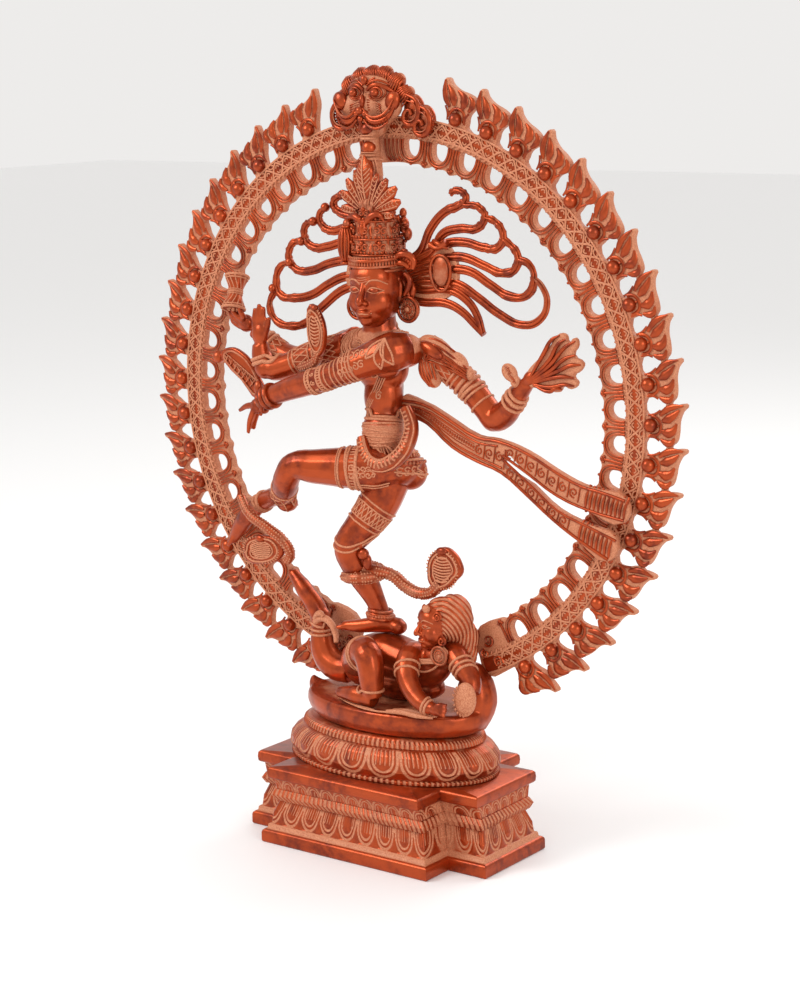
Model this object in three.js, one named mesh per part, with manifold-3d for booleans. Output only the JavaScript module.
// Nataraja statue: a four-armed dancing figure in a ring of flames, on a stepped pedestal.
// Millimetres, +Z up, front towards -Y. Each casting is its own closed solid; every brazed seam
// keeps a hairline clearance of GAP.
import * as THREE from 'three';
import { mergeVertices } from 'three/addons/utils/BufferGeometryUtils.js';
import Module from 'manifold-3d';

const wasm = await Module();
wasm.setup();

// ---- driving dimensions ----
const GAP = 0.3;
const BASE = { frontHalfW: 71.65, sideHalfW: 102.1, frontHalfD: 61.85, sideHalfD: 36.15, height: 55.95 };
const HOLLOW = { inset: 15, roof: 46.5 };
const LOTUS = { halfW: 84, halfD: 50, bottom: 56.25, top: 86 };
const PLINTH = { x: 4, halfW: 73, halfD: 42.5, top: 103.5 };
const STUD = { radius: 5, bottom: 28, top: 96 };
const RING = {
  y: 17.2, z: 307, bead: 198.5, beadY: 12.6, thick: 6.6,
  perSide: 19, first: 18.22, pitch: 7.477, turn: -3.5, end: 163,
};
const BEAD_RADIUS = 6;
const DEG = Math.PI / 180;
const SIDES = 8;
const FLAT = 0.1; // how far simplifying may move a face

const COPPER = { color: 0x9c3f1c, roughness: 0.34, metalness: 0.75 };
const STEEL = { color: 0x8d8f92, roughness: 0.4, metalness: 0.9 };

// ---- shape helpers ----
function solid(geometry) {
  geometry.deleteAttribute('normal');
  geometry.deleteAttribute('uv');
  const merged = mergeVertices(geometry, 1e-4);
  const index = merged.index.array;
  const faces = [];
  for (let i = 0; i < index.length; i += 3) {
    const [a, b, c] = [index[i], index[i + 1], index[i + 2]];
    if (a !== b && b !== c && c !== a) faces.push(a, b, c);
  }
  return new wasm.Manifold(new wasm.Mesh({
    numProp: 3,
    vertProperties: Float32Array.from(merged.attributes.position.array),
    triVerts: Uint32Array.from(faces),
  }));
}

function join(parts) {
  return parts.reduce((all, part) => all.add(part));
}

// a rounded bar through points, its radius running through the list of radii
function limb(points, radii, grow = 0, sides = SIDES, steps = 8) {
  const curve = new THREE.CatmullRomCurve3(points.map((p) => new THREE.Vector3(...p)));
  const bar = new THREE.CylinderGeometry(1, 1, 1, sides, steps);
  const frames = curve.computeFrenetFrames(steps);
  const place = bar.attributes.position;
  for (let i = 0; i < place.count; i++) {
    const row = Math.round((place.getY(i) + 0.5) * steps);
    const along = row / steps;
    const slot = along * (radii.length - 1);
    const low = Math.min(Math.floor(slot), radii.length - 2);
    const radius = THREE.MathUtils.lerp(radii[low], radii[low + 1], slot - low) + grow;
    const overrun = row === 0 ? -grow : row === steps ? grow : 0;
    const at = curve.getPointAt(along)
      .addScaledVector(frames.normals[row], place.getX(i) * radius)
      .addScaledVector(frames.binormals[row], -place.getZ(i) * radius)
      .addScaledVector(frames.tangents[row], overrun);
    place.setXYZ(i, at.x, at.y, at.z);
  }
  return solid(bar);
}

function blob([x, y, z], [rx, ry, rz], grow = 0, lean = 0, wide = 10, high = 6) {
  const ball = new THREE.SphereGeometry(1, wide, high);
  ball.rotateX(Math.PI / 2);
  ball.scale(rx + grow, ry + grow, rz + grow);
  ball.rotateY(lean * DEG);
  ball.translate(x, y, z);
  return solid(ball);
}

// a disc or short round bar between two points
function rod(from, to, r0, r1, grow = 0, sides = 12) {
  return limb([from, to], [r0, r1], grow, sides, 1);
}

// push a closed outline outwards by grow
function swell(outline, grow) {
  if (!grow) return outline;
  const area = THREE.ShapeUtils.area(outline.map(([x, z]) => new THREE.Vector2(x, z)));
  const side = Math.sign(area);
  return outline.map(([x, z], i) => {
    const [ax, az] = outline[(i + outline.length - 1) % outline.length];
    const [bx, bz] = outline[(i + 1) % outline.length];
    const away = new THREE.Vector2(bz - az, ax - bx).normalize().multiplyScalar(side * grow);
    return [x + away.x, z + away.y];
  });
}

// a flat casting drawn in the XZ plane, from y0 (front) to y1 (back)
function plate(outline, y0, y1, grow = 0, holes = []) {
  const edge = swell(outline, grow).map(([x, z]) => new THREE.Vector2(x, z));
  const shape = new THREE.Shape(THREE.ShapeUtils.isClockWise(edge) ? edge.reverse() : edge);
  holes.forEach((hole) => shape.holes.push(new THREE.Path(hole.map(([x, z]) => new THREE.Vector2(x, z)))));
  const slab = new THREE.ExtrudeGeometry(shape, { depth: y1 - y0 + 2 * grow, bevelEnabled: false });
  slab.rotateX(Math.PI / 2);
  slab.translate(0, y1 + grow, 0);
  return solid(slab);
}

// a turned body squeezed to an oval: profile is [radius share, z]
function oval([cx, cy], halfW, halfD, profile, grow = 0, sides = 24) {
  const last = profile.length - 1;
  const points = profile.map(([share, z], i) => {
    const rise = i === 0 ? -grow : i === last ? grow : 0;
    return new THREE.Vector2(share, z + rise);
  });
  const lathe = new THREE.LatheGeometry(
    [new THREE.Vector2(0, points[0].y), ...points, new THREE.Vector2(0, points[last].y)], sides);
  lathe.rotateX(Math.PI / 2);
  const place = lathe.attributes.position;
  for (let i = 0; i < place.count; i++) {
    const [x, y, z] = [place.getX(i), place.getY(i), place.getZ(i)];
    const reach = Math.hypot(x, y) || 1;
    place.setXYZ(i, cx + x * halfW + (x / reach) * grow, cy + y * halfD + (y / reach) * grow, z);
  }
  return solid(lathe);
}

function largest(body) {
  const pieces = body.decompose();
  return pieces.reduce((best, piece) => (piece.volume() > best.volume() ? piece : best));
}

// ---- base ----
function crossCorner(k, insetX, insetY) {
  const [wideX, slimX] = [BASE.sideHalfW - insetX, BASE.frontHalfW - insetX];
  const [deepY, slimY] = [BASE.frontHalfD - insetY, BASE.sideHalfD - insetY];
  const quarter = [[wideX, slimY], [slimX, slimY], [slimX, deepY]];
  const ring = [
    ...quarter,
    ...quarter.map(([x, y]) => [-x, y]).reverse(),
    ...quarter.map(([x, y]) => [-x, -y]),
    ...quarter.map(([x, y]) => [x, -y]).reverse(),
  ];
  return ring[k];
}

// a block with the base's twelve corners; levels are [z, inset in x, inset in y]
function steppedBlock(levels) {
  const corners = 12;
  const column = [new THREE.Vector2(0, levels[0][0]),
    ...levels.map(([z]) => new THREE.Vector2(1, z)), new THREE.Vector2(0, levels.at(-1)[0])];
  const lathe = new THREE.LatheGeometry(column, corners);
  const place = lathe.attributes.position;
  for (let i = 0; i < place.count; i++) {
    const row = i % column.length;
    const corner = Math.floor(i / column.length) % corners;
    if (row === 0 || row === column.length - 1) {
      place.setXYZ(i, 0, 0, column[row].y);
    } else {
      const [z, insetX, insetY] = levels[row - 1];
      const [x, y] = crossCorner(corner, insetX, insetY);
      place.setXYZ(i, x, y, z);
    }
  }
  return solid(lathe);
}

function pedestal() {
  const body = steppedBlock([
    [0, 0, 0], [8, 0, 0], [9.7, 1.6, 1.6], [10, 3, 3], [13.2, 3.6, 3.6], [13.4, 5, 5],
    [21, 6, 6], [30, 9.5, 9.5], [30.2, 7.5, 7], [34.3, 5.3, 4.8], [38.4, 7.5, 7],
    [38.6, 12, 10], [47, 12, 9], [47.5, 7, 1], [55.1, 6.8, 0.7], [BASE.height, 7.8, 1.7],
  ]);
  const inside = steppedBlock([[-1, HOLLOW.inset - 6, HOLLOW.inset - 6],
    [HOLLOW.roof, HOLLOW.inset + 2, HOLLOW.inset + 2]]);
  return body.subtract(inside);
}

const pin = (radius, z0, z1) => (grow) => rod([0, 0, z0], [0, 0, z1], radius, radius, grow, 16);

function lotusCushion(grow) {
  return oval([0, 0], LOTUS.halfW, LOTUS.halfD, [
    [0.985, LOTUS.bottom], [0.985, 59.5], [0.96, 60], [1.01, 65], [0.985, 71], [0.91, 76.5], [0.85, 79],
    [0.86, 80], [0.83, 84], [0.79, LOTUS.top],
  ], grow);
}

function ovalPlinth(grow) {
  const bowl = oval([PLINTH.x, 0], PLINTH.halfW, PLINTH.halfD, [
    [0.88, LOTUS.top + GAP], [0.95, 90], [1.0, 96], [1.0, 100.5], [0.975, PLINTH.top],
  ], grow);
  const prow = limb([[-50, -2, 96], [-64, -2, 100], [-69, -2, 107]], [11, 8, 2], grow, 8, 3);
  const stern = limb([[62, 6, 92], [66, 8, 112], [62, 10, 128]], [15, 15, 9], grow, SIDES, 4);
  return join([bowl, prow, stern]);
}

// ---- ring of flames ----
function onRing(angle, radius) {
  const a = (angle + RING.turn) * DEG;
  return [radius * Math.sin(a), RING.z + radius * Math.cos(a)];
}

const beadAngle = (k) => RING.first + RING.pitch * k;

// one flame leaf seen from outside: [degrees past its bead, radius]
const LEAF_EDGE = [[-3.75, 213], [-3.5, 224.5], [-1.8, 219], [2.6, 216.5], [3.5, 213.5]];
const LEAF_START = [[-1.6, 194], [-1.9, 202], [-3.0, 207]];
const LEAF_FINISH = [[3.3, 208], [2.6, 202], [2.5, 195]];
const LEAF_GAP = [[2.6, 195], [2.3, 202], [3.4, 210.5], [5.5, 203], [5.8, 195]];
const LOOP_HOLE = [[-1.9, 179.5], [1.9, 179.5], [1.8, 171], [0, 168.4], [-1.8, 171]];
const LOOP_EDGE = [[3.74, 161.5], [2.4, 164.5], [0, 163.2], [-2.4, 164.5]];
const LOOP_LEAD = 2.6;

function flameArch() {
  const last = RING.perSide - 1;
  const half = (side) => {
    const at = (k, [dx, r]) => onRing(side * (beadAngle(k) + dx), r);
    const outer = LEAF_START.map((p) => at(0, p));
    for (let k = 0; k <= last; k++) outer.push(...LEAF_EDGE.map((p) => at(k, p)));
    outer.push(...LEAF_FINISH.map((p) => at(last, p)));
    outer.push(onRing(side * RING.end, 196), onRing(side * RING.end, 166));
    const inner = [];
    for (let k = last; k >= -1; k--) inner.push(...LOOP_EDGE.map((p) => at(k, [p[0] - LOOP_LEAD, p[1]])));
    const holes = [];
    for (let k = 0; k < last; k++) holes.push(LEAF_GAP.map((p) => at(k, p)));
    for (let k = -1; k <= last; k++) holes.push(LOOP_HOLE.map((p) => at(k, [p[0] - LOOP_LEAD, p[1]])));
    return { outer, inner, holes };
  };
  const [right, left] = [half(1), half(-1)];
  const outline = [...right.outer, ...right.inner, onRing(0, 164), ...left.inner.reverse(),
    ...left.outer.reverse()];
  const y = RING.y;
  const parts = [plate(outline, y - RING.thick / 2, y + RING.thick / 2, 0, [...right.holes, ...left.holes])];
  for (let k = 0; k <= last; k++) {
    [1, -1].forEach((side) => {
      const [x, z] = onRing(side * beadAngle(k), RING.bead);
      parts.push(blob([x, RING.beadY, z], [BEAD_RADIUS, BEAD_RADIUS, BEAD_RADIUS], 0, 0, 6, 4));
    });
  }
  return join(parts);
}

function kirtimukhaMask(grow) {
  const face = blob([-14, 14, 509], [23, 11, 18.5], grow, 0, 12, 8);
  const muzzle = blob([-14, 5, 506], [8, 6, 8], grow);
  const chin = blob([-13, 11, 494], [11, 8, 7], grow);
  const curls = [[-42, 498, 9], [-34, 508, 9], [11, 510, 9], [18, 502, 8.5], [24, 494, 6.5]];
  const crestKnobs = [[-36, 521, 7.5], [-27, 525, 7], [-16, 526, 7], [-5, 525, 7], [4, 519, 8]];
  return join([face, muzzle, chin,
    ...[...curls, ...crestKnobs].map(([x, z, r]) => blob([x, 15, z], [r, 7, r], grow, 0, 8, 4))]);
}

// ---- dancing figure ----
const torso = (grow) => join([
  limb([[-1, 1, 272], [-3, 0, 300], [-2, 0, 322], [-3, 0, 344], [-3, 1, 353]], [17, 13.6, 16, 20, 12], grow, 12, 8),
  blob([22, -8, 345], [12, 12, 12], grow),
  blob([-26, -4, 345], [12, 11, 11], grow),
]);

const hips = (grow) => join([
  blob([3, 0, 267], [23, 17.5, 19], grow, 0, 12, 8),
  blob([12, 4, 262], [14, 15, 14], grow),
]);

const head = (grow) => join([
  blob([-3, -4, 388], [16.5, 18.5, 22], grow, 0, 12, 8),
  limb([[-4, -1, 352], [-4, -1, 372]], [9, 8], grow, 12, 2),
  blob([-4, -21.5, 384], [2.5, 3, 5], grow, 0, 8, 6),
]);

const crown = (grow) => oval([-5, 1], 1, 1, [
  [17.5, 401], [18.6, 404], [18.6, 409], [16.5, 411], [15.5, 420], [13.5, 432], [11.5, 446], [9, 458], [7, 466],
], grow, 16);

const CREST = [[-17, 428], [-23, 436], [-21, 447], [-25, 456], [-15, 460], [-12, 467], [1, 467], [6, 460],
  [16, 459], [22, 449], [14, 440], [9, 428]];
const crest = (grow) => plate(CREST, -1, 6, grow);

const finial = (grow) => join([
  limb([[-8, 2, 466], [-10, 3, 478], [-12, 3, 496]], [7, 5, 4.5], grow, 10, 3),
  blob([-11, 1.5, 480], [6, 6, 6], grow, 0, 8, 5),
  blob([-13, 1.5, 493], [6, 6, 6], grow, 0, 8, 5),
]);

const strand = (y, points, grow, radius = 2.5) =>
  limb(points.map(([x, z]) => [x, y, z]), [radius, radius, radius], grow, 5, points.length);

const HAIR_Y = 8;
const LEFT_LOCKS = [
  [[-14, 386], [-36, 386], [-61, 371], [-74, 360], [-89, 356], [-103, 359], [-109, 369], [-104, 380]],
  [[-14, 394], [-40, 393], [-55, 387], [-70, 379], [-86, 376], [-99, 378], [-102, 388], [-97, 398], [-88, 401]],
  [[-14, 404], [-40, 404], [-55, 401], [-69, 396], [-83, 396], [-90, 404], [-86, 414], [-77, 416]],
  [[-14, 414], [-42, 416], [-55, 413], [-67, 412], [-75, 418], [-74, 427], [-67, 430]],
  [[-14, 422], [-40, 426], [-50, 424], [-59, 427], [-62, 434], [-56, 440]],
  [[-14, 430], [-36, 435], [-44, 437], [-49, 442], [-46, 447], [-40, 448]],
];
const LEFT_LINKS = [[-104, 382], [-88, 401], [-77, 416], [-66, 430], [-55, 440], [-40, 449]];
const hairLeft = (grow) => join([
  ...LEFT_LOCKS.map((lock) => strand(HAIR_Y, lock, grow)),
  ...LEFT_LINKS.map(([x, z]) => blob([x, HAIR_Y - 1, z], [3.6, 3.6, 3.6], grow, 0, 6, 4)),
  plate([[-22, 384], [-36, 384], [-34, 436], [-20, 434]], HAIR_Y - 2, HAIR_Y + 2, grow),
]);

const RIGHT_LOCKS = [
  [[12, 405], [24, 412], [33, 428], [44, 439], [58, 445], [62, 449], [56, 454], [49, 452]],
  [[20, 406], [34, 413], [43, 425], [57, 429], [71, 430], [77, 437], [73, 443], [61, 445]],
  [[30, 412], [47, 419], [62, 420], [77, 417], [88, 418], [91, 426], [86, 434], [77, 437]],
  [[30, 408], [49, 410], [61, 410], [77, 405], [91, 401], [101, 405], [102, 414], [95, 421], [89, 424]],
  [[30, 402], [50, 402], [65, 401], [81, 393], [97, 386], [110, 388], [115, 397], [112, 407], [102, 411]],
  [[26, 393], [38, 393], [55, 392], [71, 384], [88, 374], [106, 368], [119, 372], [125, 383], [121, 394],
    [113, 400]],
  [[16, 388], [28, 387], [48, 388], [63, 381], [70, 372], [74, 361]],
  [[16, 380], [27, 379], [45, 379], [58, 374], [68, 366], [75, 360]],
];
const hairRight = (grow) => join([
  ...RIGHT_LOCKS.map((lock) => strand(HAIR_Y, lock, grow)),
  plate([[16, 379], [28, 378], [42, 386], [52, 394], [52, 412], [42, 419], [30, 415], [18, 408]],
    HAIR_Y - 2, HAIR_Y + 2, grow),
  blob([43, HAIR_Y - 3, 402], [8, 3.5, 12], grow, 0, 10, 8),
]);

const earring = (x, y) => (grow) => join([
  rod([x, y - 2.5, 375], [x, y + 2.5, 375], 9, 9, grow, 14),
  blob([x, y, 387], [5, 4, 8], grow, 0, 8, 6),
]);

const epaulette = (grow) => join([
  blob([44, 6, 347], [17, 6, 9.5], grow, 30, 12, 8),
  blob([60, 6, 339], [7, 5, 6], grow, 30, 8, 6),
]);

const frontLeftArm = (grow) => join([
  limb([[24, -20, 345], [6, -27, 340], [-22, -29, 331], [-50, -29, 322], [-76, -28, 313], [-86, -27, 309]],
    [13, 12, 10, 9, 7.5, 6.5, 5.5], grow, 12, 10),
  limb([[-86, -27, 309], [-92, -27, 305], [-98, -27, 294]], [6, 6.5, 5], grow, 8, 3),
  limb([[-92, -27, 303], [-97, -27, 292], [-99, -27, 285]], [3, 2.6, 2], grow, 6, 2),
  limb([[-93, -27, 303], [-103, -26, 299], [-111, -25, 298]], [3, 2.6, 2], grow, 6, 2),
]);

const bangles = (grow) => join([
  limb([[-78, -28, 311], [-87, -27, 307]], [9.6, 9.6], grow, 12, 1),
]);

const frontRightArm = (grow) => join([
  limb([[-36, -4, 347], [-56, -8, 340], [-78, -12, 331], [-91, -14, 329]], [10, 9.5, 9, 8.5], grow, 10, 5),
  limb([[-91, -14, 328], [-97, -16, 340], [-98, -16, 352]], [8.5, 8, 7], grow, 10, 4),
  limb([[-98, -16, 350], [-93, -17, 365]], [6, 3], grow, 8, 2),
]);

const armCobra = (grow) => join([
  plate([[-46, 377], [-37, 371], [-33, 360], [-34, 350], [-38, 340], [-45, 345], [-48, 360]], -25, -21, grow),
  limb([[-38, -23, 346], [-46, -20, 336], [-60, -19, 332]], [3.5, 4, 3], grow, 6, 4),
]);

const backRightArm = (grow) => join([
  limb([[-34, 8, 350], [-58, 12, 340], [-82, 13, 333], [-97, 12, 334]], [10, 9.5, 9, 8.5], grow, 10, 5),
  limb([[-95, 12, 333], [-108, 11, 341], [-124, 8, 350]], [8.5, 8, 6], grow, 10, 4),
  blob([-129, 6, 356], [7, 6.5, 7.5], grow, 0, 8, 5),
]);

const drum = (grow) => join([
  rod([-133, -3, 367], [-134, 2, 379], 8.3, 4.6, grow, 14),
  rod([-134, 1.6, 378], [-136, 6, 389], 4.6, 8.3, grow, 14),
]);

const wristTie = (grow) => {
  const leaf = plate([[-106, 307], [-117, 329], [-127, 337], [-139, 339], [-146, 334], [-141, 326], [-128, 316],
    [-111, 303]], -3.5, 0.5, grow);
  const neck = limb([[-142, -1, 332], [-150, 4, 332], [-156, 8, 331]], [3.5, 3.5, 3.5], grow, 8, 3);
  const tail = limb([[-109, -2, 306], [-100, -12, 308], [-92, -19, 309]], [3.5, 3, 2.5], grow, 8, 3);
  return join([leaf, neck, tail, blob([-153, 3, 331], [5, 5, 5], grow, 0, 8, 5)]);
};

const backLeftArm = (grow) => join([
  limb([[30, 4, 349], [44, 8, 338], [62, 12, 322], [77, 13, 306]], [11, 11, 9.5, 9], grow, 10, 5),
  limb([[75, 13, 304], [86, 12, 306], [100, 8, 320], [112, 5, 331]], [9, 8.5, 7.2, 5.5], grow, 10, 5),
  blob([114, 4, 334], [7, 6.5, 7], grow, 0, 8, 5),
  blob([97, 4, 337], [7, 3.5, 6], grow, 40, 8, 6),
]);

const HAND_FLAME = [[111, 332], [114, 341], [126, 350], [134, 359], [139, 365], [150, 362], [150, 354], [155, 344],
  [150, 336], [145, 329], [139, 328], [126, 330]];
const handFlame = (grow) => plate(HAND_FLAME, 1.5, 6.5, grow);

const SASH = [[8, 313], [28, 312], [48, 304], [73, 293], [89, 292], [112, 286], [136, 275], [155, 268],
  [168, 266], [187, 262], [186, 246], [160, 250], [136, 257], [112, 270], [93, 280], [116, 264], [136, 250],
  [159, 242], [180, 235], [174, 219], [151, 230], [132, 241], [112, 255], [92, 268], [72, 274], [52, 282],
  [32, 296], [13, 303]];
const sash = (grow) => plate(SASH, 3.4, 7.6, grow);

const hipLoop = (grow) => join([
  limb([[-8, -17, 284], [-1, -20, 274], [11, -20, 271], [22, -15, 279], [27, -8, 293], [19, -5, 307]],
    [3.5, 4.5, 5, 5, 4.5], grow, 8, 9),
]);

const raisedLeg = (grow) => join([
  limb([[10, -8, 265], [-16, -18, 266], [-42, -28, 266], [-58, -33, 265]], [17, 13.5, 11.5, 9.2], grow, 12, 5),
  blob([-59, -33, 264], [9.3, 9.3, 9.3], grow),
  limb([[-59, -33, 264], [-69, -28, 250], [-86, -14, 238]], [9, 8.8, 7], grow, 10, 4),
  limb([[-78, -13, 235], [-93, -9, 237], [-118, -2, 226], [-136, 2, 210], [-146, 4, 198]],
    [6, 8, 7, 6.5, 4], grow, 10, 6),
]);

const ankleCobra = (grow) => join([
  limb([[-122, -12, 232], [-112, -15, 221], [-96, -14, 213], [-85, -12, 205], [-84, -9, 194], [-96, -7, 187],
    [-112, -7, 188]], [3.4, 3.6, 3.6, 3.6, 3], grow, 8, 12),
  plate([[-124, 190], [-122, 200], [-112, 205], [-99, 207], [-90, 204], [-87, 197], [-96, 189], [-110, 186]],
    -12, -6, grow),
]);

const standingLeg = (grow) => join([
  limb([[1, -1, 258], [-4, -7, 240], [-15, -16, 222], [-22, -19, 210]], [15.5, 14, 11.5, 10], grow, 12, 5),
  blob([-22, -18.5, 209], [10, 10, 11], grow),
  limb([[-22, -18, 209], [-18, -9, 188], [-10, -2, 168], [-7, 0, 156]], [9.8, 9.6, 6.8, 6.2], grow, 10, 5),
  limb([[6, 3, 152], [-8, -1, 152.5], [-23, -7, 151.5], [-36, -11, 151]], [5, 5.5, 4.8, 3], grow, 8, 4),
]);

const anklet = (grow) => rod([-8.5, -1, 159.5], [-9.5, -2, 165], 10.5, 9.5, grow, 14);

const calfCobra = (grow) => {
  const coil = [];
  for (let i = 0; i <= 10; i++) {
    const turn = (200 + 33 * i) * DEG;
    coil.push([-17 + 13.5 * Math.cos(turn), -9 + 12.5 * Math.sin(turn), 188 + 0.5 * i]);
  }
  return join([
    limb([...coil, [-4, -12, 194], [6, -6, 191], [17, -5, 184], [29, -5, 181], [41, -5, 184], [48, -5, 192]],
      [3, 4.5, 4.5, 4.5, 4.5, 4], grow, 8, 26),
    plate([[36, 190], [36, 204], [42, 213], [50, 216], [59, 213], [65, 204], [61, 195], [52, 187], [43, 185]],
      -8, -2, grow),
  ]);
};

// ---- dwarf underfoot ----
const dwarfBody = (grow) => join([
  limb([[-34, 6, 124], [-14, 2, 132], [8, 0, 130], [28, -4, 128], [44, -3, 134]], [15, 16, 15, 14, 12], grow, 10, 6),
  limb([[30, -12, 138], [44, -6, 141], [62, 2, 138]], [10, 11, 10], grow, 12, 4),
  limb([[46, -4, 142], [48, -4, 152]], [8, 7.5], grow, 10, 2),
]);

const dwarfHead = (grow) => join([
  blob([47, -5, 164], [13, 14, 15], grow, 0, 12, 8),
  blob([56, 1, 167], [16, 16, 19], grow, 0, 12, 8),
]);

const dwarfBentLeg = (grow) => join([
  limb([[-26, -8, 126], [-12, -22, 136], [3, -32, 139]], [12, 12, 9.5], grow, 12, 5),
  limb([[3, -32, 138], [6, -34, 126], [8, -34, 112]], [9, 8.5, 7], grow, 12, 4),
  limb([[9, -34, 109.5], [-8, -34, 110], [-22, -32, 110]], [5.5, 5.5, 4], grow, 8, 4),
]);

const dwarfRaisedLeg = (grow) => join([
  limb([[-36, 0, 116], [-50, -2, 118], [-62, 0, 130], [-63, 0, 148]], [10, 10, 9, 7], grow, 10, 6),
  limb([[-62, -1, 148], [-64, -2, 156], [-75, -1, 168], [-87, 0, 179]], [6.5, 7.5, 6.5, 5], grow, 10, 5),
]);

const dwarfRightArm = (grow) => join([
  limb([[26, -18, 140], [33, -26, 128], [46, -33, 116], [58, -34, 111]], [8.5, 7.5, 6.5, 5], grow, 10, 6),
  blob([63, -34, 112], [8, 6.5, 5.5], grow, 0, 8, 5),
]);

const dwarfLeftArm = (grow) => join([
  limb([[58, -6, 142], [70, -12, 134], [79, -14, 127]], [8.5, 7.5, 6.5], grow, 10, 4),
  blob([78, -22, 119], [9, 5.5, 12], grow, 10, 12, 8),
]);

// ---- assembly: earlier pieces keep their full shape, later ones are cut back to clear them ----
const PIECES = [
  ['fixing_stud', pin(STUD.radius, STUD.bottom, STUD.top), STEEL],
  ['fixing_washer', pin(13, 43, HOLLOW.roof - GAP), STEEL],
  ['fixing_nut', (grow) => rod([0, 0, 34], [0, 0, 43 - GAP], 9.5, 9.5, grow, 6), STEEL],
  ['pedestal', pedestal, COPPER],
  ['lotus_cushion', lotusCushion, COPPER],
  ['oval_plinth', ovalPlinth, COPPER],
  ['torso', torso, COPPER],
  ['hips', hips, COPPER],
  ['head', head, COPPER],
  ['crown', crown, COPPER],
  ['crown_crest', crest, COPPER],
  ['kirtimukha_mask', kirtimukhaMask, COPPER],
  ['crown_finial', finial, COPPER],
  ['right_earring', earring(-20, 2), COPPER],
  ['left_earring', earring(19, 4), COPPER],
  ['front_left_arm', frontLeftArm, COPPER],
  ['wrist_bangles', bangles, COPPER],
  ['front_right_arm', frontRightArm, COPPER],
  ['arm_cobra', armCobra, COPPER],
  ['back_left_arm', backLeftArm, COPPER],
  ['shoulder_epaulette', epaulette, COPPER],
  ['hand_flame', handFlame, COPPER],
  ['back_right_arm', backRightArm, COPPER],
  ['drum', drum, COPPER],
  ['wrist_tie', wristTie, COPPER],
  ['hair_fan_left', hairLeft, COPPER],
  ['hair_fan_right', hairRight, COPPER],
  ['hip_loop', hipLoop, COPPER],
  ['sash', sash, COPPER],
  ['raised_leg', raisedLeg, COPPER],
  ['ankle_cobra', ankleCobra, COPPER],
  ['standing_leg', standingLeg, COPPER],
  ['anklet', anklet, COPPER],
  ['calf_cobra', calfCobra, COPPER],
  ['dwarf_head', dwarfHead, COPPER],
  ['dwarf_body', dwarfBody, COPPER],
  ['dwarf_bent_leg', dwarfBentLeg, COPPER],
  ['dwarf_raised_leg', dwarfRaisedLeg, COPPER],
  ['dwarf_right_arm', dwarfRightArm, COPPER],
  ['dwarf_left_arm', dwarfLeftArm, COPPER],
  ['flame_arch', flameArch, COPPER],
];

function touches(a, b) {
  const [p, q] = [a.boundingBox(), b.boundingBox()];
  return [0, 1, 2].every((i) => p.min[i] < q.max[i] && q.min[i] < p.max[i]);
}

function meshOf(name, body, finish) {
  const { vertProperties, triVerts, numProp } = body.getMesh();
  const geometry = new THREE.BufferGeometry();
  const place = new Float32Array((vertProperties.length / numProp) * 3);
  for (let i = 0; i < place.length / 3; i++) {
    for (let j = 0; j < 3; j++) place[3 * i + j] = vertProperties[i * numProp + j];
  }
  geometry.setAttribute('position', new THREE.BufferAttribute(place, 3));
  geometry.setIndex(Array.from(triVerts));
  geometry.computeVertexNormals();
  const mesh = new THREE.Mesh(geometry, new THREE.MeshStandardMaterial(finish));
  mesh.name = name;
  return mesh;
}

const group = new THREE.Group();
group.name = 'nataraja_statue';
const grown = [];
for (const [name, shape, finish] of PIECES) {
  let body = shape(0);
  for (const other of grown) if (touches(body, other)) body = body.subtract(other);
  group.add(meshOf(name, largest(body).simplify(FLAT), finish));
  grown.push(shape(GAP));
}

export default group;
